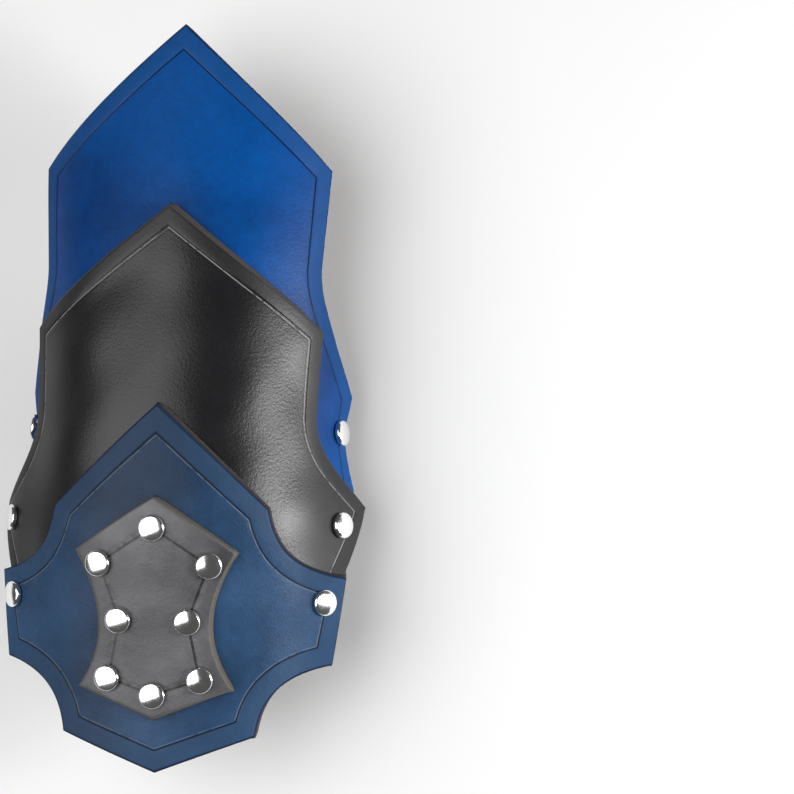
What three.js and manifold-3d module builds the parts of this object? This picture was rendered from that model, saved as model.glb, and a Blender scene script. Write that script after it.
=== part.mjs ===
// A leather vambrace: three overlapping plates, a studded patch and two buckled straps.
// Millimetres. X runs across the arm, +Y towards the elbow, +Z up. It lies on its straps, crown up.

import * as THREE from 'three';
import { mergeVertices } from 'three/addons/utils/BufferGeometryUtils.js';
import Module from 'manifold-3d';

const wasm = await Module();
wasm.setup();

// Leather and the gaps between its layers
const PLATE = 3.0;
const LAYER_GAP = 0.7;
const PATCH_GAP = 0.4;
const STRAP = 2.4;
const STRAP_WIDTH = 20;
const STRAP_GAP = 1.3;
// How far a strap's end reaches past its side rivet, and the pitch of its holes
const STRAP_ROOT = 10;
const HOLE_PITCH = 14;

// Height of each plate's outer face above the outer face of the upper plate
const UPPER_FACE = 0;
const MIDDLE_FACE = UPPER_FACE + LAYER_GAP + PLATE;
const LOWER_FACE = MIDDLE_FACE + LAYER_GAP + PLATE;
const PATCH_FACE = LOWER_FACE + PATCH_GAP + PLATE;

// How far the free tips of the two upper layers stand up, and over what length
const MIDDLE_LIFT = 2.0;
const LOWER_LIFT = 2.4;
const LIFT_LENGTH = 34;

// Rivets and studs
const CAP_RADIUS = 5;
const CAP_HEIGHT = 2.6;
const SHANK_RADIUS = 1.8;
const HOLE_RADIUS = 2.3;
const INNER_CAP_RADIUS = 4.4;
const INNER_CAP_HEIGHT = 1.0;
const SEAT_GAP = 0.45;
const RIM = 0.5;
const HOLE_OVERSHOOT = 4;
const ROUND_SIDES = 10;
const HOLE_SIDES = 8;

// Buckles
const WIRE = 1.5;
const BUCKLE_WIDTH = 28;
const BUCKLE_LENGTH = 17;
const ROLLER_RADIUS = 2.5;
const ROLLER_BORE = 1.9;
const PRONG = 1.1;
const STRAP_HOLE_RADIUS = 2.0;
const CORNER_RADIUS = 3;
const WIRE_CLEARANCE = 0.3;
// From the heel bar back to the strap's small rivet, and from the end of the fold in to the roller
const PIN_SETBACK = 12;
const ROLLER_SETBACK = 4;

// The rolled form that every layer follows, a row for each station along the arm:
// the height of its crown, the radius of its arch, and the turn, in degrees, past which a side runs straight
const FORM = [
  { y: 145, crown: 59.5, radius: 86, steepest: 66 },
  { y: 88, crown: 66.0, radius: 78, steepest: 66 },
  { y: 60, crown: 68.8, radius: 71, steepest: 66 },
  { y: 30, crown: 70.8, radius: 65, steepest: 66 },
  { y: 0, crown: 71.5, radius: 62, steepest: 68 },
  { y: -15, crown: 71.4, radius: 63, steepest: 77 },
  { y: -46, crown: 69.8, radius: 72, steepest: 68 },
  { y: -76, crown: 64.0, radius: 77, steepest: 68 },
  { y: -100, crown: 58.5, radius: 84, steepest: 66 },
  { y: -127, crown: 54.0, radius: 95, steepest: 66 },
  { y: -145, crown: 51.8, radius: 102, steepest: 66 },
];

// Colours and finishes
const leather = (color, roughness) => new THREE.MeshStandardMaterial({ color, roughness, metalness: 0 });
const chrome = new THREE.MeshStandardMaterial({ color: 0xd9dbe0, roughness: 0.15, metalness: 1 });
const blueLeather = leather(0x0a549c, 0.45);
const blackLeather = leather(0x2a2a2e, 0.45);
const navyLeather = leather(0x2c5288, 0.55);
const patchLeather = leather(0x4a4c52, 0.55);
const strapLeather = leather(0x232225, 0.5);

const vambrace = new THREE.Group();

// The value of one column of the form at any station, on a smooth curve through the rows
function formValue(column, y) {
  const last = FORM.length - 1;
  const slope = (i) => {
    const a = FORM[Math.max(i - 1, 0)];
    const b = FORM[Math.min(i + 1, last)];
    return (b[column] - a[column]) / (b.y - a.y);
  };
  let i = 0;
  while (i < last - 1 && y < FORM[i + 1].y) i += 1;
  const p = FORM[i];
  const q = FORM[i + 1];
  const span = q.y - p.y;
  const t = THREE.MathUtils.clamp((y - p.y) / span, 0, 1);
  const t2 = t * t;
  const t3 = t2 * t;
  return (2 * t3 - 3 * t2 + 1) * p[column] + (t3 - 2 * t2 + t) * span * slope(i)
    + (3 * t2 - 2 * t3) * q[column] + (t3 - t2) * span * slope(i + 1);
}

// The turn of the form away from the crown, at a distance round the arch
function turnAt(around, y) {
  const steepest = THREE.MathUtils.degToRad(formValue('steepest', y));
  return Math.sign(around) * Math.min(Math.abs(around) / formValue('radius', y), steepest);
}

// A point at a distance round the arch from the crown, a station, and a height above the form
function onForm(around, y, height) {
  const radius = formValue('radius', y);
  const turn = turnAt(around, y);
  const straight = Math.abs(around) - radius * Math.abs(turn);
  const side = Math.sign(around);
  return new THREE.Vector3(
    (radius + height) * Math.sin(turn) + side * straight * Math.cos(turn),
    y,
    formValue('crown', y) - radius + (radius + height) * Math.cos(turn) - straight * Math.sin(Math.abs(turn)),
  );
}

// The direction straight out of a layer of the form
function outOfForm(around, y, height) {
  const reach = 3;
  const round = onForm(around + reach, y, height).sub(onForm(around - reach, y, height));
  const along = onForm(around, y + reach, height).sub(onForm(around, y - reach, height));
  return round.cross(along).normalize();
}

// A closed mesh from vertices and faces, with coincident vertices welded and empty faces dropped
function solid(vertices, faces) {
  const positions = vertices.flatMap((v) => v.toArray());
  let geometry = new THREE.BufferGeometry();
  geometry.setAttribute('position', new THREE.Float32BufferAttribute(positions, 3));
  geometry.setIndex(faces.flat());
  geometry = mergeVertices(geometry, 1e-4);
  const index = Array.from(geometry.index.array);
  const kept = [];
  for (let i = 0; i < index.length; i += 3) {
    const [a, b, c] = index.slice(i, i + 3);
    if (a !== b && b !== c && c !== a) kept.push(a, b, c);
  }
  geometry.setIndex(kept);
  return outward(geometry);
}

function toManifold(geometry) {
  const bare = new THREE.BufferGeometry();
  bare.setAttribute('position', geometry.attributes.position);
  bare.setIndex(geometry.index);
  const welded = mergeVertices(bare, 1e-4);
  return new wasm.Manifold(new wasm.Mesh({
    numProp: 3,
    vertProperties: new Float32Array(welded.attributes.position.array),
    triVerts: new Uint32Array(welded.index.array),
  }));
}

// What is left of a solid after cutters are taken away
function cut(geometry, cutters) {
  let shape = toManifold(geometry);
  for (const cutter of cutters) shape = shape.subtract(toManifold(cutter));
  const mesh = shape.getMesh();
  const result = new THREE.BufferGeometry();
  result.setAttribute('position', new THREE.BufferAttribute(new Float32Array(mesh.vertProperties), 3));
  result.setIndex(new THREE.BufferAttribute(new Uint32Array(mesh.triVerts), 1));
  return result;
}

// Turns a shape made along +Y so that it points out along a direction from a place
function placed(geometry, place, direction) {
  const turn = new THREE.Quaternion().setFromUnitVectors(new THREE.Vector3(0, 1, 0), direction);
  return geometry.applyQuaternion(turn).translate(place.x, place.y, place.z);
}

function add(name, geometry, material) {
  const mesh = new THREE.Mesh(geometry, material);
  mesh.name = name;
  vambrace.add(mesh);
}

// Half outlines of the plates, laid flat: distance round from the crown, then station along the arm
const upperOutline = new THREE.Path()
  .moveTo(0, 142.5)
  .quadraticCurveTo(34, 111.2, 63, 89)
  .lineTo(62.2, 50)
  .bezierCurveTo(63, 36, 76, 22, 89, 4)
  .bezierCurveTo(86, -10, 86, -18, 89, -32)
  .lineTo(82, -57)
  .lineTo(0, -68);
const middleOutline = new THREE.Path()
  .moveTo(0, 70.4)
  .quadraticCurveTo(29, 45.5, 62, 26.2)
  .lineTo(61, -8)
  .bezierCurveTo(62, -22, 76, -30, 90, -38.5)
  .lineTo(74, -65.5)
  .lineTo(60, -92)
  .lineTo(0, -98);
const lowerOutline = new THREE.Path()
  .moveTo(0, -6.2)
  .quadraticCurveTo(18, -24.5, 39.3, -43.6)
  .bezierCurveTo(42.5, -60, 50, -65.5, 71.5, -66.8)
  .lineTo(64.2, -100)
  .bezierCurveTo(46, -104, 37, -112, 35.2, -128)
  .lineTo(0, -142.5);
const patchOutline = new THREE.Path()
  .moveTo(0, -42.5)
  .lineTo(27.8, -60.5)
  .bezierCurveTo(17, -80, 16, -95, 26.9, -111)
  .lineTo(0, -123);

// Points along an outline no further apart than a step
function stepped(outline, step) {
  const points = [];
  for (const curve of outline.curves) {
    const count = Math.max(1, Math.ceil(curve.getLength() / step));
    const inner = curve.isLineCurve ? curve.getPoints(count) : curve.getSpacedPoints(count);
    points.push(...(points.length ? inner.slice(1) : inner));
  }
  return points;
}

// How much a free tip stands up at a station
function liftAt(y, tip, lift) {
  const t = THREE.MathUtils.clamp((y - tip + LIFT_LENGTH) / LIFT_LENGTH, 0, 1);
  return lift * t * t;
}

// A leather plate on the form: rows follow its outline, columns share each row's width
function plate({ outline, face, thickness = PLATE, lift = 0, step, columns }) {
  const edge = stepped(outline, step);
  const tip = edge[0].y;
  const vertices = [];
  const faces = [];
  const across = columns + 1;
  const layer = edge.length * across;
  for (const depth of [0, thickness]) {
    for (const { x: reach, y } of edge) {
      for (let i = 0; i <= columns; i += 1) {
        const around = reach * ((2 * i) / columns - 1);
        vertices.push(onForm(around, y, face - depth + liftAt(y, tip, lift)));
      }
    }
  }
  for (let row = 0; row < edge.length - 1; row += 1) {
    for (let i = 0; i < columns; i += 1) {
      const a = row * across + i;
      const b = a + across;
      faces.push([a, b, a + 1], [a + 1, b, b + 1]);
      faces.push([a + layer, a + 1 + layer, b + layer], [a + 1 + layer, b + 1 + layer, b + layer]);
    }
    const left = row * across;
    const right = left + columns;
    const nextLeft = left + across;
    const nextRight = right + across;
    faces.push([left, left + layer, nextLeft], [nextLeft, left + layer, nextLeft + layer]);
    faces.push([right, nextRight, right + layer], [nextRight, nextRight + layer, right + layer]);
  }
  return solid(vertices, faces);
}

// A round bar across the layers, square to one face at a place on the form
function barThrough({ around, y, face }, low, high, radius) {
  const bar = new THREE.CylinderGeometry(radius, radius, high - low, HOLE_SIDES);
  bar.translate(0, (low + high) / 2 - face, 0);
  return placed(bar, onForm(around, y, face), outOfForm(around, y, face));
}

// A domed rivet or stud: its cap stands on the outer face, its shank reaches down to a depth,
// and an inner cap is clenched there if it has one
function rivet(around, y, face, depth, innerCap) {
  const seat = face + SEAT_GAP;
  const rim = seat + RIM;
  const profile = [];
  if (innerCap) {
    const inner = depth - SEAT_GAP;
    profile.push([0, inner - INNER_CAP_HEIGHT], [INNER_CAP_RADIUS, inner - INNER_CAP_HEIGHT]);
    profile.push([INNER_CAP_RADIUS, inner], [SHANK_RADIUS, inner]);
  } else {
    profile.push([0, depth + SEAT_GAP], [SHANK_RADIUS, depth + SEAT_GAP]);
  }
  profile.push([SHANK_RADIUS, seat], [CAP_RADIUS, seat]);
  const rings = 3;
  for (let i = 0; i < rings; i += 1) {
    const t = (i / rings) * (Math.PI / 2);
    profile.push([CAP_RADIUS * Math.cos(t), rim + (CAP_HEIGHT - RIM) * Math.sin(t)]);
  }
  profile.push([0, seat + CAP_HEIGHT]);
  const shape = new THREE.LatheGeometry(profile.map(([r, h]) => new THREE.Vector2(r, h)), ROUND_SIDES);
  return placed(shape.translate(0, -face, 0), onForm(around, y, face), outOfForm(around, y, face));
}

// Where the side rivets and the patch studs sit: distance round from the crown, then station
const SIDE_RIVETS = {
  upper: { around: 80.5, y: -10.7, face: UPPER_FACE },
  middle: { around: 72, y: -47, face: MIDDLE_FACE },
  lower: { around: 60.3, y: -76.8, face: LOWER_FACE },
};
const STUDS = [
  { around: 0, y: -52.4 },
  { around: -18.4, y: -65.6 },
  { around: 18.4, y: -65.6 },
  { around: -11.5, y: -86.4 },
  { around: 11.5, y: -86.4 },
  { around: -15.6, y: -107.8 },
  { around: 15.6, y: -107.8 },
  { around: 0, y: -113.9 },
];
const SIDES = { left: -1, right: 1 };

// The innermost layer that each side rivet clenches
const STRAP_TOP = UPPER_FACE - PLATE - STRAP_GAP;
const STRAP_MIDDLE = STRAP_TOP - STRAP / 2;
const CLENCH = {
  upper: STRAP_TOP - STRAP,
  middle: STRAP_TOP - STRAP,
  lower: MIDDLE_FACE - PLATE,
};

function sideHoles(names) {
  const low = STRAP_TOP - STRAP - HOLE_OVERSHOOT;
  const high = LOWER_FACE + HOLE_OVERSHOOT;
  return names.flatMap((name) => Object.values(SIDES).map((side) => {
    const { around, y, face } = SIDE_RIVETS[name];
    return barThrough({ around: side * around, y, face }, low, high, HOLE_RADIUS);
  }));
}

function studHoles() {
  const face = PATCH_FACE;
  const high = face + HOLE_OVERSHOOT;
  return STUDS.map(({ around, y }) => barThrough({ around, y, face }, MIDDLE_FACE, high, HOLE_RADIUS));
}

// A strap's middle line on one side: down the inside of the plates, then round the fold to the bottom,
// drifting towards the wrist as it goes. Each stop is a place and the way the outer face looks there
function sideRun({ around, y, end, landing, drift }) {
  const start = around - STRAP_ROOT;
  const span = end - start;
  const angleAt = (s) => -turnAt(s, y);
  const slope = angleAt(end);
  const turned = Math.PI + slope;
  const foldRadius = (onForm(end, y - drift / 2, STRAP_MIDDLE).z - landing) / (1 + Math.cos(slope));
  const length = span + foldRadius * turned;
  const station = (travelled) => y - (drift * (travelled - STRAP_ROOT)) / (length - STRAP_ROOT);
  const stops = [];
  const count = 5;
  for (let i = 0; i <= count; i += 1) {
    const travelled = (span * i) / count;
    const place = onForm(start + travelled, station(travelled), STRAP_MIDDLE);
    stops.push({ place, out: outOfForm(start + travelled, place.y, STRAP_MIDDLE) });
  }
  const last = stops[stops.length - 1];
  const centre = new THREE.Vector3(
    last.place.x + foldRadius * Math.sin(slope),
    0,
    landing + foldRadius,
  );
  const bends = 7;
  for (let i = 1; i <= bends; i += 1) {
    const angle = slope - (turned * i) / bends;
    const out = facing(angle, last.out.y * (1 - i / bends));
    const place = centre.clone().addScaledVector(facing(angle), foldRadius);
    place.y = station(length - foldRadius * turned * (1 - i / bends));
    stops.push({ place, out });
  }
  return stops;
}

// The way an outer face looks for a direction of travel, with a share along the arm
function facing(angle, along = 0) {
  return new THREE.Vector3(-Math.sin(angle), along, Math.cos(angle)).normalize();
}

// A ribbon of leather along stops, on one side of the arm, square across its own direction
function ribbon(stops, side) {
  const middle = stops.map(({ place }) => new THREE.Vector3(side * place.x, place.y, place.z));
  const vertices = [];
  const faces = [];
  stops.forEach(({ out }, i) => {
    const ahead = middle[Math.min(i + 1, middle.length - 1)];
    const behind = middle[Math.max(i - 1, 0)];
    const travel = new THREE.Vector3().subVectors(ahead, behind).normalize();
    const face = new THREE.Vector3(side * out.x, out.y, out.z);
    const across = new THREE.Vector3().crossVectors(face, travel).normalize();
    for (const [u, v] of [[1, 1], [-1, 1], [-1, -1], [1, -1]]) {
      vertices.push(middle[i].clone()
        .addScaledVector(across, (u * STRAP_WIDTH) / 2)
        .addScaledVector(face, (v * STRAP) / 2));
    }
  });
  for (let i = 0; i < stops.length - 1; i += 1) {
    for (let k = 0; k < 4; k += 1) {
      const a = 4 * i + k;
      const b = 4 * i + ((k + 1) % 4);
      faces.push([a, a + 4, b], [b, a + 4, b + 4]);
    }
  }
  const end = 4 * (stops.length - 1);
  faces.push([0, 1, 2], [0, 2, 3], [end, end + 2, end + 1], [end, end + 3, end + 2]);
  return solid(vertices, faces);
}

// Heights of the strap and buckle where they cross under the arm
const TAIL_Z = STRAP / 2;
const HEEL_STRAP_Z = TAIL_Z + STRAP + STRAP_GAP;
const HEEL_BEND = STRAP / 2 + WIRE_CLEARANCE + WIRE;
const HEEL_BAR_Z = HEEL_STRAP_Z + HEEL_BEND;
const ROLLER_Z = 2 * PRONG + 0.7 + ROLLER_RADIUS;
const OVER_ROLLER_Z = ROLLER_Z + ROLLER_RADIUS + 0.7 + STRAP / 2;
const TAIL_END = 26;
const TURNED_END = 21;

// The holed strap's middle line past the roller, and the prong's line past its hook
const PAST_ROLLER = [
  { inward: 0, z: OVER_ROLLER_Z },
  { inward: 4.2, z: OVER_ROLLER_Z - 1.7 },
  { inward: 8, z: OVER_ROLLER_Z - 5.2 },
  { inward: 11.6, z: TAIL_Z + 0.7 },
  { inward: 15.5, z: TAIL_Z },
  { inward: 19, z: TAIL_Z },
];
const PAST_HOOK = [
  { inward: 7, z: PRONG + 2.6 },
  { inward: 2.5, z: PRONG + 0.35 },
  { inward: -3.2, z: PRONG + 0.35 },
];
const PRONG_HOLE = { inward: 7.2, z: OVER_ROLLER_Z - 4.4 };

// A whole strap with its buckle, under the arm from one side rivet to the other
function buckledStrap(name, { around, y }, { end, drift }) {
  const run = { around, y, end, drift };
  const upright = new THREE.Vector3(0, 0, 1);
  const downward = upright.clone().negate();
  const rivetHoles = sideHoles([name]);

  // The holed strap from the left rivet, over the roller and out under the heel of the buckle
  const down = sideRun({ ...run, landing: OVER_ROLLER_Z });
  const landed = down[down.length - 1].place;
  const station = landed.y;
  const rollerX = landed.x - ROLLER_SETBACK;
  const heelX = rollerX - BUCKLE_LENGTH;
  const crossing = new THREE.CatmullRomCurve3([
    landed,
    ...PAST_ROLLER.map(({ inward, z }) => new THREE.Vector3(rollerX - inward, station, z)),
  ]);
  const flatStart = rollerX - PAST_ROLLER[PAST_ROLLER.length - 1].inward;
  const pieces = 12;
  const through = [];
  for (let i = 1; i < pieces; i += 1) {
    const place = crossing.getPointAt(i / pieces);
    const tangent = crossing.getTangentAt(i / pieces);
    place.z = Math.max(place.z, TAIL_Z);
    through.push({ place, out: facing(Math.atan2(tangent.z, tangent.x)) });
  }
  const flat = [0, 0.5, 1].map((t) => ({
    place: new THREE.Vector3(THREE.MathUtils.lerp(flatStart, -TAIL_END, t), station, TAIL_Z),
    out: downward,
  }));
  const punch = (x, z, direction) => placed(
    new THREE.CylinderGeometry(STRAP_HOLE_RADIUS, STRAP_HOLE_RADIUS, 2 * HOLE_OVERSHOOT, HOLE_SIDES),
    new THREE.Vector3(-x, station, z),
    direction,
  );
  const flatHoles = [0, 1].map((i) => punch(heelX - PIN_SETBACK - HOLE_PITCH * i, TAIL_Z, upright));
  const prongHole = punch(rollerX - PRONG_HOLE.inward, PRONG_HOLE.z, new THREE.Vector3(-1, 0, 1).normalize());
  const holed = ribbon([...down, ...through, ...flat], SIDES.left);
  add(`${name}_strap_holed`, cut(holed, [...flatHoles, prongHole, ...rivetHoles]), strapLeather);

  // The strap from the right rivet, turned back round the heel bar
  const right = sideRun({ ...run, landing: HEEL_STRAP_Z });
  const level = right[right.length - 1].place;
  const across = [0.25, 0.5, 0.75, 1].map((t) => ({
    place: new THREE.Vector3(level.x + (-heelX - level.x) * t, station, HEEL_STRAP_Z),
    out: downward,
  }));
  const bends = 8;
  const bend = [];
  for (let i = 1; i <= bends; i += 1) {
    const out = facing(-Math.PI - (Math.PI * i) / bends);
    const place = new THREE.Vector3(-heelX, station, HEEL_BAR_Z).addScaledVector(out, HEEL_BEND);
    bend.push({ place, out });
  }
  const turned = { place: bend[bends - 1].place.clone().setX(-heelX + TURNED_END), out: upright };
  const slot = new THREE.BoxGeometry(14, 2 * PRONG + 1.4, 14).translate(-heelX - 2.4, station, HEEL_BAR_Z);
  const pinPlace = new THREE.Vector3(-heelX + PIN_SETBACK, station, HEEL_BAR_Z);
  const bore = new THREE.CylinderGeometry(HOLE_RADIUS, HOLE_RADIUS, STRAP_WIDTH, HOLE_SIDES);
  const pinBore = placed(bore, pinPlace, upright);
  const plain = ribbon([...right, ...across, ...bend, turned], SIDES.right);
  add(`${name}_strap_plain`, cut(plain, [slot, pinBore, ...rivetHoles]), strapLeather);

  // The small rivet that holds the turned-back end
  const top = HEEL_BAR_Z + HEEL_BEND + STRAP / 2 + SEAT_GAP;
  const pin = new THREE.LatheGeometry([
    [0, HEEL_STRAP_Z - STRAP / 2 + 0.2],
    [SHANK_RADIUS, HEEL_STRAP_Z - STRAP / 2 + 0.2],
    [SHANK_RADIUS, top],
    [3.6, top],
    [3.3, top + 0.9],
    [2, top + 1.5],
    [0, top + 1.7],
  ].map(([r, h]) => new THREE.Vector2(r, h)), ROUND_SIDES);
  add(`${name}_strap_rivet`, placed(pin, pinPlace.clone().setZ(0), upright), chrome);

  // The wire frame, leaning from the heel bar down to the roller
  const half = BUCKLE_WIDTH / 2 - WIRE;
  const rise = HEEL_BAR_Z - ROLLER_Z;
  const lean = (t) => new THREE.Vector3(-rollerX + BUCKLE_LENGTH * t, 0, ROLLER_Z + rise * t);
  const frameLine = new THREE.CurvePath();
  const nook = CORNER_RADIUS / BUCKLE_LENGTH;
  const at = (t, w) => lean(t).add(new THREE.Vector3(0, station + w, 0));
  const frameCorners = [[0, -1], [0, 1], [1, 1], [1, -1]];
  frameCorners.forEach(([t, w], i) => {
    const [nextT, nextW] = frameCorners[(i + 1) % 4];
    const inT = t ? 1 - nook : nook;
    const inNextT = nextT ? 1 - nook : nook;
    const turnsAcross = t === nextT;
    const from = turnsAcross ? at(t, w * (half - CORNER_RADIUS)) : at(inT, w * half);
    const to = turnsAcross ? at(nextT, nextW * (half - CORNER_RADIUS)) : at(inNextT, nextW * half);
    frameLine.add(new THREE.LineCurve3(from, to));
    const after = turnsAcross ? at(inNextT, nextW * half) : at(nextT, nextW * (half - CORNER_RADIUS));
    frameLine.add(new THREE.QuadraticBezierCurve3(to, at(nextT, nextW * half), after));
  });
  const stopsRound = frameLine.curves.flatMap((curve) => (
    curve.isLineCurve3 ? [curve.v1] : curve.getPoints(3).slice(0, -1)
  ));
  add(`${name}_buckle_frame`, loopOfWire(stopsRound, WIRE, 8), chrome);

  // The roller on the far bar
  const rollerHalf = half - CORNER_RADIUS - 2 * WIRE_CLEARANCE;
  const roller = new THREE.LatheGeometry([
    [ROLLER_BORE, -rollerHalf], [ROLLER_RADIUS, -rollerHalf],
    [ROLLER_RADIUS, rollerHalf], [ROLLER_BORE, rollerHalf], [ROLLER_BORE, -rollerHalf],
  ].map(([r, h]) => new THREE.Vector2(r, h)), 12);
  roller.translate(-rollerX, station, ROLLER_Z);
  add(`${name}_buckle_roller`, roller, chrome);

  // The prong: hooked over the heel bar, through the hole, and on under the roller
  const hook = WIRE + 0.35 + PRONG;
  const prongStops = [];
  for (let i = 0; i <= 5; i += 1) {
    const angle = THREE.MathUtils.degToRad(-40 + 34 * i);
    const bar = new THREE.Vector3(-heelX, station, HEEL_BAR_Z);
    prongStops.push(bar.add(new THREE.Vector3(Math.cos(angle), 0, Math.sin(angle)).multiplyScalar(hook)));
  }
  prongStops.push(...PAST_HOOK.map(({ inward, z }) => new THREE.Vector3(-rollerX + inward, station, z)));
  add(`${name}_buckle_prong`, wire(prongStops, PRONG, 8), chrome);
}

// Rings of a wire round its middle line, which lies in one plane
function wireRings(points, radius, sides, closed) {
  const count = points.length;
  const normal = new THREE.Vector3();
  for (let i = 1; i < count - 1 && normal.lengthSq() < 1e-6; i += 1) {
    const a = new THREE.Vector3().subVectors(points[i], points[0]);
    const b = new THREE.Vector3().subVectors(points[i + 1], points[0]);
    normal.crossVectors(a, b);
  }
  normal.normalize();
  const vertices = [];
  points.forEach((point, i) => {
    const ahead = closed ? points[(i + 1) % count] : points[Math.min(i + 1, count - 1)];
    const behind = closed ? points[(i - 1 + count) % count] : points[Math.max(i - 1, 0)];
    const travel = new THREE.Vector3().subVectors(ahead, behind).normalize();
    const outwards = new THREE.Vector3().crossVectors(travel, normal).normalize();
    for (let k = 0; k < sides; k += 1) {
      const angle = (2 * Math.PI * k) / sides;
      vertices.push(point.clone()
        .addScaledVector(outwards, radius * Math.cos(angle))
        .addScaledVector(normal, radius * Math.sin(angle)));
    }
  });
  return vertices;
}

function ringFaces(first, second, sides) {
  const faces = [];
  for (let k = 0; k < sides; k += 1) {
    const next = (k + 1) % sides;
    faces.push([first + k, first + next, second + k], [first + next, second + next, second + k]);
  }
  return faces;
}

function loopOfWire(points, radius, sides) {
  const faces = points.flatMap((_, i) => ringFaces(i * sides, ((i + 1) % points.length) * sides, sides));
  return solid(wireRings(points, radius, sides, true), faces);
}

function wire(points, radius, sides) {
  const last = (points.length - 1) * sides;
  const faces = points.slice(1).flatMap((_, i) => ringFaces(i * sides, (i + 1) * sides, sides));
  for (let k = 1; k < sides - 1; k += 1) {
    faces.push([0, k + 1, k], [last, last + k, last + k + 1]);
  }
  return solid(wireRings(points, radius, sides, false), faces);
}

// Turns a closed mesh inside out if its faces point in
function outward(geometry) {
  const p = geometry.attributes.position;
  const index = geometry.index.array;
  let volume = 0;
  const corner = (i) => new THREE.Vector3().fromBufferAttribute(p, index[i]);
  for (let i = 0; i < index.length; i += 3) {
    volume += corner(i).dot(corner(i + 1).cross(corner(i + 2)));
  }
  if (volume < 0) {
    for (let i = 0; i < index.length; i += 3) [index[i + 1], index[i + 2]] = [index[i + 2], index[i + 1]];
  }
  return geometry;
}

// The three plates and the patch
add('upper_plate', cut(
  plate({ outline: upperOutline, face: UPPER_FACE, step: 14, columns: 18 }),
  sideHoles(['upper', 'middle']),
), blueLeather);
add('middle_plate', cut(
  plate({ outline: middleOutline, face: MIDDLE_FACE, lift: MIDDLE_LIFT, step: 12, columns: 14 }),
  sideHoles(['middle', 'lower']),
), blackLeather);
add('lower_plate', cut(
  plate({ outline: lowerOutline, face: LOWER_FACE, lift: LOWER_LIFT, step: 11, columns: 12 }),
  [...sideHoles(['lower']), ...studHoles()],
), navyLeather);
add('stud_patch', cut(
  plate({ outline: patchOutline, face: PATCH_FACE, step: 10, columns: 6 }),
  studHoles(),
), patchLeather);

// Studs on the patch
STUDS.forEach(({ around, y }, i) => {
  add(`patch_stud_${i + 1}`, rivet(around, y, PATCH_FACE, LOWER_FACE - PLATE, false), chrome);
});

// Rivets at the side wings
for (const [name, { around, y, face }] of Object.entries(SIDE_RIVETS)) {
  for (const [sideName, side] of Object.entries(SIDES)) {
    add(`${name}_rivet_${sideName}`, rivet(side * around, y, face, CLENCH[name], true), chrome);
  }
}

// The two straps that close the back
buckledStrap('upper', SIDE_RIVETS.upper, { end: 87, drift: 0 });
buckledStrap('middle', SIDE_RIVETS.middle, { end: 80, drift: 18 });

export default vambrace;
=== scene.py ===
"""The leather vambrace dressed over its frame: tooled plates, bright domed rivets, straps and buckles."""

import math

import bpy
import numpy as np
from mathutils import Matrix, Vector
from mathutils.geometry import delaunay_2d_cdt


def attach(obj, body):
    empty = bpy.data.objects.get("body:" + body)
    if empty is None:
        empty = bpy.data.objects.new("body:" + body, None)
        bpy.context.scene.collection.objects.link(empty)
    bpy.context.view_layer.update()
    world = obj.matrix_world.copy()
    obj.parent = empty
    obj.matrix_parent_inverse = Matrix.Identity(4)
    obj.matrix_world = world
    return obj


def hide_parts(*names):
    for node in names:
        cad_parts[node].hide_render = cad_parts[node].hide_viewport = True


MM = 0.001

# Leather and the gaps between its layers, in millimetres
PLATE = 3.0
UPPER_FACE = 0.0
MIDDLE_FACE = 3.7
LOWER_FACE = 7.4
PATCH_FACE = 10.8

# How far the tip of a plate lifts off the layer below, and over what length
MIDDLE_LIFT = 2.0
LOWER_LIFT = 2.4
LIFT_LENGTH = 34.0

# The rolled form that every layer follows: station, height of the crown, radius of the arch,
# and the turn, in degrees, past which a side runs straight
FORM = np.array([
    (145, 59.5, 86, 66),
    (88, 66.0, 78, 66),
    (60, 68.8, 71, 66),
    (30, 70.8, 65, 66),
    (0, 71.5, 62, 68),
    (-15, 71.4, 63, 77),
    (-46, 69.8, 72, 68),
    (-76, 64.0, 77, 68),
    (-100, 58.5, 84, 66),
    (-127, 54.0, 95, 66),
    (-145, 51.8, 102, 66),
], float)

# Where the side rivets and the patch studs sit: distance round from the crown, station, face
SIDE_RIVETS = {
    "upper": (80.5, -10.7, UPPER_FACE),
    "middle": (72.0, -47.0, MIDDLE_FACE),
    "lower": (60.3, -76.8, LOWER_FACE),
}
STUDS = [
    (0.0, -52.4),
    (-18.4, -65.6),
    (18.4, -65.6),
    (-11.5, -86.4),
    (11.5, -86.4),
    (-15.6, -107.8),
    (15.6, -107.8),
    (0.0, -113.9),
]
# The order in which the tooled line of the patch joins its studs, as places in the list above
STITCH_ORDER = (0, 2, 4, 6, 7, 5, 3, 1)

# A cap sits a little above the leather, with a rounded rim round a shallow dome
CAP_RADIUS = 5.0
CAP_HEIGHT = 2.6
SEAT_GAP = 0.45
DOME_RADIUS = 4.2
DOME_DROP = 0.5
SHANK = 1.8
AXIS = 0.01

# The underside of a cap, from its seat, and the clenched inner end of a rivet: radius, height
UNDER_CAP = [(SHANK, 0.0), (4.7, 0.0), (4.95, 0.12), (CAP_RADIUS, 0.3)]
CLENCH = [(AXIS, -1.0), (3.9, -0.95), (4.35, -0.6), (4.4, -0.2), (4.2, 0.0), (SHANK, 0.0)]


def hermite(x, stations, values, slopes):
    """Smooth curves through rows of values at stations, with a row of slopes at each."""
    i = np.clip(np.searchsorted(stations, x) - 1, 0, len(stations) - 2)
    span = (stations[i + 1] - stations[i])[:, None]
    t = np.clip((x - stations[i])[:, None] / span, 0, 1)
    return ((2 * t**3 - 3 * t**2 + 1) * values[i]
            + (t**3 - 2 * t**2 + t) * span * slopes[i]
            + (3 * t**2 - 2 * t**3) * values[i + 1]
            + (t**3 - t**2) * span * slopes[i + 1])


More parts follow.
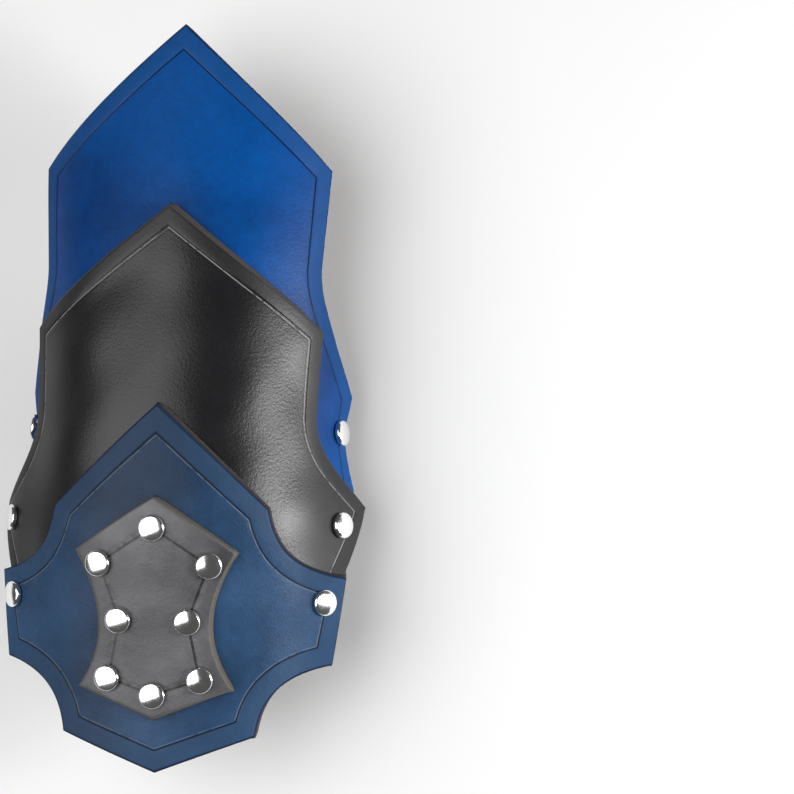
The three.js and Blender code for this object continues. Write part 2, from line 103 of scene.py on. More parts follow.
def form_values(y):
    """Crown height, arch radius and steepest turn at stations, on smooth curves through the rows."""
    rows = FORM[::-1]
    before = np.vstack([rows[:1], rows[:-1]])
    after = np.vstack([rows[1:], rows[-1:]])
    slopes = (after[:, 1:] - before[:, 1:]) / (after[:, 0] - before[:, 0])[:, None]
    return hermite(y, rows[:, 0], rows[:, 1:], slopes)


def on_form(around, y, height):
    """Points at distances round the arch, stations and heights above the form."""
    around, y, height = (np.atleast_1d(np.asarray(v, float)) for v in (around, y, height))
    crown, radius, steepest = form_values(y).T
    side = np.sign(around)
    turn = side * np.minimum(np.abs(around) / radius, np.radians(steepest))
    straight = np.abs(around) - radius * np.abs(turn)
    return np.stack([
        (radius + height) * np.sin(turn) + side * straight * np.cos(turn),
        y * np.ones_like(around),
        crown - radius + (radius + height) * np.cos(turn) - straight * np.sin(np.abs(turn)),
    ], axis=1)


def out_of_form(around, y, height):
    """The direction straight out of a layer of the form."""
    reach = 3
    round_way = on_form(around + reach, y, height) - on_form(around - reach, y, height)
    along = on_form(around, y + reach, height) - on_form(around, y - reach, height)
    out = np.cross(round_way, along)[0]
    return Vector(out / np.linalg.norm(out))


def bezier(points, count):
    """Points along a curve of two, three or four control points, without the first."""
    points = [np.array(p, float) for p in points]
    line = []
    for k in range(1, count + 1):
        level, t = points, k / count
        while len(level) > 1:
            level = [a * (1 - t) + b * t for a, b in zip(level, level[1:])]
        line.append(level[0])
    return line


def outline_of(start, pieces, step=1.3):
    """The whole outline, laid flat and clockwise, from the lines and curves of its right half."""
    half = [np.array(start, float)]
    for piece in pieces:
        control = [half[-1]] + list(piece)
        length = sum(np.linalg.norm(np.subtract(b, a)) for a, b in zip(control, control[1:]))
        half += bezier(control, max(2, round(length / step)))
    left = [np.array((-x, y)) for x, y in half[-2:0:-1]]
    return np.array(half + left)


OUTLINES = {
    "upper_plate": outline_of((0, 142.5), [
        [(34, 111.2), (63, 89)],
        [(62.2, 50)],
        [(63, 36), (76, 22), (89, 4)],
        [(86, -10), (86, -18), (89, -32)],
        [(82, -57)],
        [(0, -68)],
    ]),
    "middle_plate": outline_of((0, 70.4), [
        [(29, 45.5), (62, 26.2)],
        [(61, -8)],
        [(62, -22), (76, -30), (90, -38.5)],
        [(74, -65.5)],
        [(60, -92)],
        [(0, -98)],
    ]),
    "lower_plate": outline_of((0, -6.2), [
        [(18, -24.5), (39.3, -43.6)],
        [(42.5, -60), (50, -65.5), (71.5, -66.8)],
        [(64.2, -100)],
        [(46, -104), (37, -112), (35.2, -128)],
        [(0, -142.5)],
    ]),
    "stud_patch": outline_of((0, -40.8), [
        [(27.8, -60.5)],
        [(17, -80), (16, -95), (26.9, -111)],
        [(0, -123)],
    ]),
}


def segment_gaps(points, outline):
    """How far each point lies from each side of an outline."""
    a = outline[None]
    d = np.roll(outline, -1, axis=0)[None] - a
    p = points[:, None]
    t = np.clip(np.sum((p - a) * d, axis=2) / np.sum(d * d, axis=2), 0, 1)
    return np.linalg.norm(p - a - d * t[..., None], axis=2)


def edge_distance(points, outline, batch=2000):
    """How far each point lies from an outline, worked out in batches to save memory."""
    starts = range(0, len(points), batch)
    return np.concatenate([segment_gaps(points[k:k + batch], outline).min(axis=1) for k in starts])


def inside(points, outline):
    """Which points lie inside an outline."""
    x, y = points[:, 0][:, None], points[:, 1][:, None]
    ax, ay = outline[:, 0][None], outline[:, 1][None]
    bx, by = np.roll(outline[:, 0], -1)[None], np.roll(outline[:, 1], -1)[None]
    crosses = (ay > y) != (by > y)
    with np.errstate(divide="ignore", invalid="ignore"):
        at = ax + (y - ay) * (bx - ax) / (by - ay)
    return np.sum(crosses & (x < at), axis=1) % 2 == 1


def moved_in(outline, inset):
    """The outline moved in with mitred corners, less the points that cross over at a corner."""
    if inset == 0:
        return outline
    sharpest = 0.35
    hardly_nearer = 0.985
    ahead = np.roll(outline, -1, axis=0) - outline
    ahead /= np.linalg.norm(ahead, axis=1)[:, None]
    normal = np.stack([ahead[:, 1], -ahead[:, 0]], axis=1)
    mitre = normal + np.roll(normal, 1, axis=0)
    mitre /= np.linalg.norm(mitre, axis=1)[:, None]
    stretch = np.clip(np.sum(mitre * normal, axis=1), sharpest, 1)
    moved = outline + mitre * (inset / stretch)[:, None]
    return moved[edge_distance(moved, outline) > inset * hardly_nearer]


def line_points(line, step=1.0):
    """Points along a closed line of corners."""
    points = []
    for a, b in zip(line, line[1:] + line[:1]):
        count = max(1, round(math.dist(a, b) / step))
        points += [np.array(a) + (np.array(b) - np.array(a)) * k / count for k in range(count)]
    return np.array(points)


def loose_points(outline, grid, margin):
    """A triangular grid of points inside an outline, clear of its margin."""
    low, high = outline.min(axis=0), outline.max(axis=0)
    row_height = grid * 0.87
    clear = margin + grid * 0.45
    field = np.array([
        (x + (grid / 2 if j % 2 else 0), y)
        for j, y in enumerate(np.arange(low[1] + grid / 2, high[1], row_height))
        for x in np.arange(low[0] + grid / 2, high[0], grid)
    ])
    field = field[inside(field, outline)]
    return field[edge_distance(field, outline) > clear]


def turned(points, face):
    """Whether a flat face runs anticlockwise."""
    a, b, c = (points[i] for i in face[:3])
    return (b[0] - a[0]) * (c[1] - a[1]) - (b[1] - a[1]) * (c[0] - a[0]) > 0


def cut_sheet(loops, field, outline, holes=()):
    """A flat mesh through closed loops and loose points, less what lies past the outline or in a hole.

    Beside its points and faces it gives, for each point, its number among those put in, or -1.
    """
    merged_within = 1e-5
    links, base = [], 0
    for loop in loops:
        links += [(base + i, base + (i + 1) % len(loop)) for i in range(len(loop))]
        base += len(loop)
    flat = [Vector(p) for p in np.vstack(loops + [field])]
    points, _, faces, origin, _, _ = delaunay_2d_cdt(flat, links, [], 0, merged_within)
    points = np.array([tuple(p) for p in points])
    source = np.array([o[0] if o else -1 for o in origin])
    centres = np.array([points[list(f)].mean(axis=0) for f in faces])
    kept = inside(centres, outline)
    for hole in holes:
        kept &= ~inside(centres, hole)
    faces = [f if turned(points, f) else f[::-1] for f, ok in zip(faces, kept) if ok]
    used = np.unique(np.concatenate([list(f) for f in faces]))
    again = {old: new for new, old in enumerate(used)}
    faces = [tuple(again[v] for v in f) for f in faces]
    return points[used], faces, source[used]


def mesh_object(name, vertices, faces):
    """A smooth-shaded object in the scene."""
    mesh = bpy.data.meshes.new(name)
    mesh.from_pydata([tuple(v) for v in vertices], [], faces)
    mesh.validate()
    mesh.update()
    mesh.polygons.foreach_set("use_smooth", [True] * len(mesh.polygons))
    obj = bpy.data.objects.new(name, mesh)
    bpy.context.scene.collection.objects.link(obj)
    return obj


def two_faced(name, top, bottom, faces, inset, line):
    """A closed mesh between two faces of leather, with the distances that its material reads."""
    size = len(top)
    polys = faces + [tuple(v + size for v in f[::-1]) for f in faces]
    sides = {(f[k - 1], f[k]): None for f in faces for k in range(len(f))}
    for a, b in sides:
        if (b, a) not in sides:
            polys.append((b, a, a + size, b + size))
    obj = mesh_object(name, np.vstack([top, bottom]) * MM, polys)
    inner_face = np.concatenate([np.zeros(size), np.ones(size)])
    marks = {"inset": np.tile(inset, 2), "line": np.tile(line, 2), "inner_face": inner_face}
    for mark, values in marks.items():
        layer = obj.data.attributes.new(mark, "FLOAT", "POINT")
        layer.data.foreach_set("value", values.astype(np.float32))
    return obj


# The side on which the plates are cut obliquely, so that their cut edge shows, how far in that
# acts on the lower edge, and over what distance it is evened out
CUT_WAY = (0.85, 0.53)
CUT_REACH = 5.0
CUT_BLUR = 1.5

# How far the skin drops at each distance in from a cut edge
EDGE_DROP = [(0.0, 0.75), (0.25, 0.33), (0.6, 0.11), (1.1, 0.02), (1.8, 0.0)]

# How far it drops at each distance past a tooled line with a fainter one beside it
GROOVE_DROP = [
    (-2.7, 0.0), (-0.6, 0.0), (-0.25, 0.1), (0.0, 0.42), (0.25, 0.1), (0.55, -0.06), (0.9, 0.04),
    (1.2, 0.0), (1.9, 0.0),
]

# How far it drops beside the tooled line of the patch, and how the inner edge is eased
STITCH_DROP = [(0.0, 0.45), (0.3, 0.2), (0.8, 0.0)]
INNER_EASE = [(0.0, 0.5), (0.5, 0.1), (1.2, 0.0)]

# Worked leather is uneven: how many waves, their lengths and height, how far in from the edge
# they reach their height, and what share of them the inner face has
WAVE_COUNT = 7
WAVE_LENGTHS = (26, 70)
WAVE_HEIGHT = 0.09
WAVE_FADE = 12.0
INNER_WAVE = 0.5


def waves(x, y, seed):
    """Slow, shallow unevenness of worked leather, in millimetres."""
    rng = np.random.default_rng(seed)
    total = np.zeros_like(x)
    for _ in range(WAVE_COUNT):
        angle = rng.uniform(0, math.tau)
        length = rng.uniform(*WAVE_LENGTHS)
        phase = rng.uniform(0, math.tau)
        total += np.sin((x * math.cos(angle) + y * math.sin(angle)) * math.tau / length + phase)
    return WAVE_HEIGHT * total


def lift_at(y, tip, lift):
    """How far a plate stands off towards its tip."""
    t = np.clip((y - tip + LIFT_LENGTH) / LIFT_LENGTH, 0, 1)
    return lift * t * t


def slant_of_cut(points, outline, inset):
    """Which way, and by what share, the lower edge of an obliquely cut side stands out at each point."""
    ahead = np.roll(outline, -1, axis=0) - outline
    outward = np.stack([-ahead[:, 1], ahead[:, 0]], axis=1)
    outward /= np.linalg.norm(outward, axis=1)[:, None]
    near = np.where(inset < CUT_REACH)[0]
    gap = segment_gaps(points[near], outline)
    weight = np.exp(-gap**2 / 2 / (gap.min(axis=1)[:, None] + CUT_BLUR)**2)
    mean = weight @ outward
    mean /= np.linalg.norm(mean, axis=1)[:, None]
    share = np.clip(mean @ np.array(CUT_WAY), 0, 1) * np.clip(1 - inset[near] / CUT_REACH, 0, 1)
    way = np.zeros_like(points)
    way[near] = mean * share[:, None]
    return way


def plate_skin(name, face, lift, grid, seed, slant, groove=None, tooled=None):
    """A plate of leather: tooled outer face, cut edge and inner face, as one closed mesh."""
    outline = OUTLINES[name]
    drops = list(EDGE_DROP)
    if groove:
        drops += [(groove + past, depth) for past, depth in GROOVE_DROP]
    insets, depths = zip(*drops)
    loops = [moved_in(outline, inset) for inset in insets]
    field = loose_points(outline, grid, insets[-1])
    if tooled:
        clear_of_line = grid * 0.4
        loops.append(line_points(tooled))
        field = field[edge_distance(field, loops[-1]) > clear_of_line]
    points, faces, source = cut_sheet(loops, field, outline)
    owner = [np.full(len(loop), k) for k, loop in enumerate(loops)]
    owner = np.concatenate(owner + [np.full(len(field), -1)])
    ring = np.where(source >= 0, owner[source], -1)
    inset = edge_distance(points, outline)
    for k, value in enumerate(insets):
        inset[ring == k] = value
    drop = np.interp(inset, insets, depths)
    if tooled:
        line = edge_distance(points, loops[-1])
        line[ring == len(insets)] = 0
        drop += np.interp(line, *zip(*STITCH_DROP))
    else:
        line = inset - groove
    x, y = points.T
    height = face + lift_at(y, outline[:, 1].max(), lift)
    wave = waves(x, y, seed) * np.clip(inset / WAVE_FADE, 0, 1)
    top = on_form(x, y, height - drop + wave)
    ease = np.interp(inset, *zip(*INNER_EASE))
    shift_x, shift_y = slant_of_cut(points, outline, inset).T * slant
    bottom = on_form(x + shift_x, y + shift_y, height - PLATE + ease + wave * INNER_WAVE)
    return two_faced(name + "_skin", top, bottom, faces, inset, line)


def ring_faces(rings, sides, closed):
    """Faces between rings of vertices. A closed run comes back to its first ring, an open one is capped."""
    faces = []
    for j in range(rings if closed else rings - 1):
        after = (j + 1) % rings
        for k in range(sides):
            n = (k + 1) % sides
            faces.append((j * sides + k, j * sides + n, after * sides + n, after * sides + k))
    if not closed:
        faces.append(tuple(range(sides))[::-1])
        faces.append(tuple((rings - 1) * sides + k for k in range(sides)))
    return faces


def lathe(name, profile, place, direction, sides=56, bored=False):
    """A round piece from a profile of radii and heights, standing on a place. A bored one has no middle."""
    vertices = []
    for r, h in profile:
        for k in range(sides):
            angle = math.tau * k / sides
            vertices.append((r * math.cos(angle) * MM, r * math.sin(angle) * MM, h * MM))
    obj = mesh_object(name, vertices, ring_faces(len(profile), sides, bored))
    turn = Vector((0, 0, 1)).rotation_difference(direction).to_matrix().to_4x4()
    obj.data.transform(Matrix.Translation(Vector(place) * MM) @ turn)
    return obj


def cap_profile(foot):
    """A domed cap with a rounded rim, on top of a foot of radii and heights."""
    profile = foot + [(radius, SEAT_GAP + height) for radius, height in UNDER_CAP]
    top = SEAT_GAP + CAP_HEIGHT
    edge_turn = math.atan(2 * DOME_DROP / DOME_RADIUS)
    round_off = (CAP_RADIUS - DOME_RADIUS) / (1 - math.sin(edge_turn))
    for t in np.linspace(math.pi / 2, edge_turn, 12):
        height = top - DOME_DROP + round_off * (math.cos(t) - math.cos(edge_turn))
        profile.append((CAP_RADIUS - round_off * (1 - math.sin(t)), height))
    for share in np.linspace(1, 0, 11)[1:]:
        profile.append((max(DOME_RADIUS * share, AXIS), top - DOME_DROP * share**2))
    return profile


# A strap's thickness, half its width, its gap to the leather above, and how far it starts inside
# its side rivet
STRAP = 2.4
STRAP_HALF = 10.0
STRAP_GAP = 1.3
STRAP_ROOT = 10.0
STRAP_INNER = -PLATE - STRAP_GAP - STRAP
STRAP_MIDDLE = -PLATE - STRAP_GAP - STRAP / 2

# The buckle: radii of its wire, prong, roller and the roller's bore, its size, and its running gap
WIRE = 1.5
PRONG = 1.1
ROLLER = 2.5
BORE = 1.9
BUCKLE_HALF = 12.5
BUCKLE_LENGTH = 17.0
CORNER = 3.0
CLEARANCE = 0.3
ROLLER_CHAMFER = 0.2
ROLLER_SETBACK = 4.0

# The gap of the roller to the prong under it and the strap over it
ROLLER_GAP = 0.7

# Heights of the middle of each layer of strap, and of the buckle's bars, over the table
TAIL_Z = STRAP / 2
HEEL_STRAP_Z = TAIL_Z + STRAP + STRAP_GAP
HEEL_BEND = STRAP / 2 + CLEARANCE + WIRE
HEEL_BAR_Z = HEEL_STRAP_Z + HEEL_BEND
ROLLER_Z = 2 * PRONG + ROLLER_GAP + ROLLER
OVER_ROLLER_Z = ROLLER_Z + ROLLER + ROLLER_GAP + STRAP / 2

# Where the holed strap ends, past the middle, and how long the plain strap's turned end is
TAIL_END = 26.0
TURNED_END = 21.0

# Holes along the holed strap, and the plain strap's slot for the prong
HOLE_PITCH = 14.0
HOLE = 2.0
SLOT_HALF = 1.8
SLOT_REACH = 4.6
SLOT_POINTS = 16

# The rivet behind the buckle
PIN_SETBACK = 12.0
PIN_CAP = 3.6
PIN_BEVEL = 0.15
PIN_RIM = 0.2
PIN_DOME = 1.5

# Each strap: distance round and station of its side rivets, where its fold starts, and its drift to the wrist
STRAPS_AT = {
    "upper": (80.5, -10.7, 87.0, 0.0),
    "middle": (72.0, -47.0, 80.0, 18.0),
}

# The holed strap's height on its way in past the roller, and where on it the prong's hole is
PAST_ROLLER = np.array([
    (0, OVER_ROLLER_Z), (4.2, OVER_ROLLER_Z - 1.7), (8, OVER_ROLLER_Z - 5.2),
    (11.6, TAIL_Z + 0.7), (15.5, TAIL_Z), (19, TAIL_Z),
])
PRONG_HOLE = (7.2, OVER_ROLLER_Z - 4.4)

# The prong: its gap to the heel bar, how far it hooks round that bar, in degrees, and its way over
# the roller's bar, as distance before that bar and height
PRONG_GAP = 0.35
PRONG_HOOK = range(-40, 131, 10)
PRONG_TIP = [(7, PRONG + 2.6), (2.5, PRONG + 0.35), (-3.2, PRONG + 0.35)]

# How far a strap's faces drop in from its edge: a rounded corner, then a tooled line
STRAP_DROP = [
    (0.0, 0.6), (0.25, 0.22), (0.6, 0.06), (1.1, 0.0), (2.5, 0.0), (2.85, 0.08), (3.1, 0.3),
    (3.35, 0.08), (3.7, 0.0),
]
STRAP_LINE = 3.1

# How far they drop round a hole, the deepest drop, and how much fuller the inner face is
HOLE_DROP = [(0.0, 0.4), (0.25, 0.12), (0.7, 0.0)]
DEEPEST = 0.7
INNER_FULLER = 0.25

# The mesh of a strap: its cut corners, the steps along its edge and its middle, how far its loose
# points lie from its end and either side of its middle, and the ring and the clear width round a hole
STRAP_CORNER = 1.5
EDGE_STEP = 1.6
MIDDLE_STEP = 1.9
END_CLEAR = 0.6
LOOSE_HALF = 5.2
LOOSE_ROWS = 6
HOLE_RING = 0.5
HOLE_CLEAR = 1.3

# Over what length a strap's drift along the arm eases off
EASE = 9.0

# How many points the middle line of a strap has on each stretch
UNDER_PLATE_POINTS = 14
FOLD_POINTS = 34
PAST_ROLLER_POINTS = 46
TAIL_POINTS = 24
TO_HEEL_POINTS = 40
ROUND_HEEL_POINTS = 20
TURNED_POINTS = 14


def facing(angle, along=0.0):
    """The way an outer face looks for a direction of travel, with a share along the arm."""
    way = np.array([-math.sin(angle), along, math.cos(angle)])
    return way / np.linalg.norm(way)


def side_run(around, y, end, drift, landing):
    """A strap's middle line on one side: inside the plates, then round the fold to the bottom."""
    start = around - STRAP_ROOT
    span = end - start
    _, radius, steepest = form_values(np.array([y]))[0]
    slope = -min(end / radius, math.radians(steepest))
    turned_by = math.pi + slope
    fold = (on_form(end, y - drift / 2, STRAP_MIDDLE)[0][2] - landing) / (1 + math.cos(slope))
    length = span + fold * turned_by

    def station(travelled):
        return y - drift * (travelled - STRAP_ROOT) / (length - STRAP_ROOT)

    places, outs = [], []
    for travelled in np.linspace(0, span, UNDER_PLATE_POINTS):
        at = station(travelled)
        places.append(on_form(start + travelled, at, STRAP_MIDDLE)[0])
        outs.append(np.array(out_of_form(start + travelled, at, STRAP_MIDDLE)))
    lean = outs[-1][1]
    centre = np.array([places[-1][0] + fold * math.sin(slope), 0, landing + fold])
    for share in np.linspace(0, 1, FOLD_POINTS)[1:]:
        angle = slope - turned_by * share
        place = centre + facing(angle) * fold
        place[1] = station(length - fold * turned_by * (1 - share))
        places.append(place)
        outs.append(facing(angle, lean * (1 - share)))
    return places, outs


def circle(x, y, radius, count=20):
    """Points round a circle."""
    turns = np.arange(count) * math.tau / count
    return np.stack([x + radius * np.cos(turns), y + radius * np.sin(turns)], axis=1)


def widened(loop, by):
    """A small convex loop grown by a distance."""
    centre = loop.mean(axis=0)
    reach = np.linalg.norm(loop - centre, axis=1)[:, None]
    return centre + (loop - centre) * (1 + by / reach)


def hole_near(middle, way, x, z):
    """A round hole centred where the middle line passes closest to a place."""
    nearest = np.argmin((middle[:, 0] - x)**2 + (middle[:, 2] - z)**2)
    return circle(way[nearest], 0, HOLE)


def strap_field(length, holes):
    """Loose points along the middle of a flat strap, clear of its ends and holes."""
    margin = STRAP_DROP[-1][0]
    xs = np.arange(margin + EDGE_STEP, length - margin - END_CLEAR, MIDDLE_STEP)
    field = np.array([(x, y) for x in xs for y in np.linspace(-LOOSE_HALF, LOOSE_HALF, LOOSE_ROWS)])
    for hole in holes:
        clear = edge_distance(field, hole) > HOLE_CLEAR
        field = field[clear & ~inside(field, hole)]
    return field


def strap_skin(name, places, outs, side, holes_at):
    """A leather strap along its middle line, with tooled lines, rounded edges and punched holes."""
    middle, face = (np.array(v) * (side, 1, 1) for v in (places, outs))
    way = np.concatenate([[0], np.cumsum(np.linalg.norm(np.diff(middle, axis=0), axis=1))])
    near = np.exp(-((way[:, None] - way[None]) / EASE)**2) * np.gradient(way)[None]
    middle[:, 1] = near @ middle[:, 1] / near.sum(axis=1)
    travel = np.gradient(middle, axis=0)
    travel /= np.linalg.norm(travel, axis=1)[:, None]
    across = np.cross(face, travel)
    across /= np.linalg.norm(across, axis=1)[:, None]
    length = way[-1]
    holes = holes_at(middle, way)
    corners = [
        (0, STRAP_HALF), (length - STRAP_CORNER, STRAP_HALF), (length, STRAP_HALF - STRAP_CORNER),
        (length, STRAP_CORNER - STRAP_HALF), (length - STRAP_CORNER, -STRAP_HALF), (0, -STRAP_HALF),
    ]
    outline = line_points(corners, EDGE_STEP)
    rings = [moved_in(outline, inset) for inset, _ in STRAP_DROP]
    loops = rings + holes + [widened(hole, HOLE_RING) for hole in holes]
    points, faces, _ = cut_sheet(loops, strap_field(length, holes), outline, holes)
    inset = edge_distance(points, outline)
    line = inset - STRAP_LINE
    drop = np.interp(inset, *zip(*STRAP_DROP))
    for hole in holes:
        gap = edge_distance(points, hole)
        drop += np.interp(gap, *zip(*HOLE_DROP))
        inset = np.minimum(inset, gap)
    s, w = points.T

    def along(rows):
        return np.stack([np.interp(s, way, rows[:, k]) for k in range(3)], axis=1)

    flat_place = along(middle) + along(across) * w[:, None]
    depth = (STRAP / 2 - np.minimum(drop, DEEPEST))[:, None]
    top = flat_place + along(face) * depth
    bottom = flat_place - along(face) * np.minimum(depth + INNER_FULLER, STRAP / 2)
    skin = two_faced(name + "_skin", top, bottom, faces, inset, line)
    dress(skin, STRAPS, name)


def tube(name, points, radius, normal, closed, sides=18):
    """Round wire along a line that lies in one plane, with rounded ends where it is open."""
    end_reach = 0.4
    end_swell = 0.55
    points = np.array(points)
    if closed:
        travel = np.roll(points, -1, axis=0) - np.roll(points, 1, axis=0)
    else:
        travel = np.gradient(points, axis=0)
    travel /= np.linalg.norm(travel, axis=1)[:, None]
    outwards = np.cross(travel, normal)
    swell = np.ones(len(points))
    if not closed:
        before = points[0] - travel[0] * radius * end_reach
        after = points[-1] + travel[-1] * radius * end_reach
        points = np.vstack([before, points, after])
        outwards = np.vstack([outwards[0], outwards, outwards[-1]])
        swell = np.concatenate([[end_swell], swell, [end_swell]])
    vertices = []
    for point, out, size in zip(points, outwards, swell):
        for k in range(sides):
            angle = math.tau * k / sides
            ray = out * math.cos(angle) + normal * math.sin(angle)
            vertices.append((point + ray * radius * size) * MM)
    return mesh_object(name, vertices, ring_faces(len(points), sides, closed))


def holed_strap(name, places, outs, roller_bar, heel_bar):
    """The strap with the holes: over the roller, down past it and on to its tail. Built mirrored."""
    roller_x, station = -roller_bar[0], roller_bar[1]
    inward = np.linspace(-ROLLER_SETBACK, PAST_ROLLER[-1, 0], PAST_ROLLER_POINTS)[1:]
    knots = np.vstack([[-ROLLER_SETBACK, OVER_ROLLER_Z], PAST_ROLLER])
    slopes = np.gradient(knots[:, 1], knots[:, 0])
    heights = hermite(inward, knots[:, 0], knots[:, 1:], slopes[:, None])[:, 0]
    for reach, height, fall in zip(inward, heights, np.gradient(heights, inward)):
        places.append(np.array([roller_x - reach, station, max(height, TAIL_Z)]))
        outs.append(facing(math.atan2(fall, -1)))
    for x in np.linspace(roller_x - PAST_ROLLER[-1, 0], -TAIL_END, TAIL_POINTS)[1:]:
        places.append(np.array([x, station, TAIL_Z]))
        outs.append(facing(math.pi))

    def holes_at(middle, way):
        spare_x = heel_bar[0] + PIN_SETBACK
        return [
            hole_near(middle, way, roller_bar[0] + PRONG_HOLE[0], PRONG_HOLE[1]),
            hole_near(middle, way, spare_x, TAIL_Z),
            hole_near(middle, way, spare_x + HOLE_PITCH, TAIL_Z),
        ]

    strap_skin(f"{name}_strap_holed", places, outs, -1, holes_at)


def plain_strap(name, places, outs, heel_bar):
    """The strap that holds the buckle: across to the heel bar, round it, and back on itself."""
    heel_x, station, _ = heel_bar
    for x in np.linspace(places[-1][0], heel_x, TO_HEEL_POINTS)[1:]:
        places.append(np.array([x, station, HEEL_STRAP_Z]))
        outs.append(facing(math.pi))
    for share in np.linspace(0, 1, ROUND_HEEL_POINTS)[1:]:
        out = facing(-math.pi * (1 + share))
        places.append(heel_bar + out * HEEL_BEND)
        outs.append(out)
    for x in np.linspace(heel_x, heel_x + TURNED_END, TURNED_POINTS)[1:]:
        places.append(np.array([x, station, HEEL_BAR_Z + HEEL_BEND]))
        outs.append(facing(0))

    def slot_at(middle, way):
        """A long hole with round ends, where the strap passes round the heel bar."""
        hair = 0.01
        in_slot = way[middle[:, 0] < heel_x + SLOT_REACH]
        low, high = in_slot.min(), in_slot.max()
        right_end = [p for p in circle(high, 0, SLOT_HALF, SLOT_POINTS) if p[0] > high - hair]
        left_end = [p for p in circle(low, 0, SLOT_HALF, SLOT_POINTS) if p[0] < low + hair]
        right_end.sort(key=lambda p: p[1])
        left_end.sort(key=lambda p: -p[1])
        return [line_points([tuple(p) for p in right_end + left_end], 1.0)]

    strap_skin(f"{name}_strap_plain", places, outs, 1, slot_at)


def strap_pin(name, heel_bar):
    """The small domed rivet that holds the turned end of the strap."""
    top = HEEL_BAR_Z + HEEL_BEND + STRAP / 2 + SEAT_GAP
    low = HEEL_STRAP_Z - STRAP / 2 + PIN_RIM
    profile = [
        (AXIS, low), (SHANK, low), (SHANK, top), (PIN_CAP - PIN_BEVEL, top), (PIN_CAP, top + PIN_RIM),
    ]
    first_turn = 0.15
    for t in np.linspace(first_turn, math.pi / 2, 10):
        profile.append((PIN_CAP * math.cos(t) + AXIS, top + PIN_RIM + PIN_DOME * math.sin(t)))
    place = (heel_bar[0] + PIN_SETBACK, heel_bar[1], 0)
    pin = lathe(f"{name}_pin", profile, place, Vector((0, 0, 1)), sides=40)
    dress(pin, CHROME, f"{name}_strap_rivet")


def buckle_frame(name, roller_bar, heel_bar):
    """A frame of wire with round corners, from the roller's bar to the heel bar."""
    lean = heel_bar - roller_bar
    wide = np.array([0, BUCKLE_HALF, 0])
    nook = CORNER / BUCKLE_LENGTH
    short = CORNER / BUCKLE_HALF
    corners = [(0, -1), (0, 1), (1, 1), (1, -1)]
    line = []
    for i, (t, w) in enumerate(corners):
        t_before, _ = corners[i - 1]
        bend = [(abs(t - nook), w), (t, w), (t, w * (1 - short))]
        if t_before == t:
            bend.reverse()
        bend = [roller_bar + lean * u + wide * v for u, v in bend]
        line += [bend[0]] + bezier(bend, 7)
    normal = np.cross(lean, wide)
    normal /= np.linalg.norm(normal)
    wire = tube(f"{name}_wire", line, WIRE, normal, True)
    dress(wire, CHROME, f"{name}_buckle_frame")


def buckle_roller(name, roller_bar):
    """A sleeve that turns on the frame's bar."""
    half = BUCKLE_HALF - CORNER - 2 * CLEARANCE
    shell = [
        (BORE, -half), (ROLLER - ROLLER_CHAMFER, -half), (ROLLER, ROLLER_CHAMFER - half),
        (ROLLER, half - ROLLER_CHAMFER), (ROLLER - ROLLER_CHAMFER, half), (BORE, half),
    ]
    roller = lathe(f"{name}_roller", shell, roller_bar, Vector((0, 1, 0)), sides=40, bored=True)
    dress(roller, CHROME, f"{name}_buckle_roller")


def buckle_prong(name, roller_bar, heel_bar):
    """A hook round the heel bar, then through the strap's hole and past the outer side of the roller."""
    hook = WIRE + PRONG_GAP + PRONG
    stops = []
    for degrees in PRONG_HOOK:
        angle = math.radians(degrees)
        stops.append(heel_bar + np.array([math.cos(angle), 0, math.sin(angle)]) * hook)
    tip = [np.array([roller_bar[0] + reach, roller_bar[1], z]) for reach, z in PRONG_TIP]
    stops += bezier([stops[-1], *tip], 14)
    prong = tube(f"{name}_prong", stops, PRONG, np.array([0.0, 1.0, 0.0]), False)
    dress(prong, CHROME, f"{name}_buckle_prong")


def buckled_strap(name, around, y, end, drift):
    """A strap in two lengths, with its buckle, under the arm from one side rivet to the other."""
    places, outs = side_run(around, y, end, drift, OVER_ROLLER_Z)
    fold_x, station, _ = places[-1]
    roller_bar = np.array([ROLLER_SETBACK - fold_x, station, ROLLER_Z])
    heel_bar = roller_bar + (BUCKLE_LENGTH, 0, HEEL_BAR_Z - ROLLER_Z)
    holed_strap(name, places, outs, roller_bar, heel_bar)
    places, outs = side_run(around, y, end, drift, HEEL_STRAP_Z)
    plain_strap(name, places, outs, heel_bar)
    strap_pin(name, heel_bar)
    buckle_frame(name, roller_bar, heel_bar)
    buckle_roller(name, roller_bar)
    buckle_prong(name, roller_bar, heel_bar)


# Places of the sockets of a Mix node that mixes colours
MIX_FACTOR, MIX_A, MIX_B, MIX_RESULT = 0, 6, 7, 2


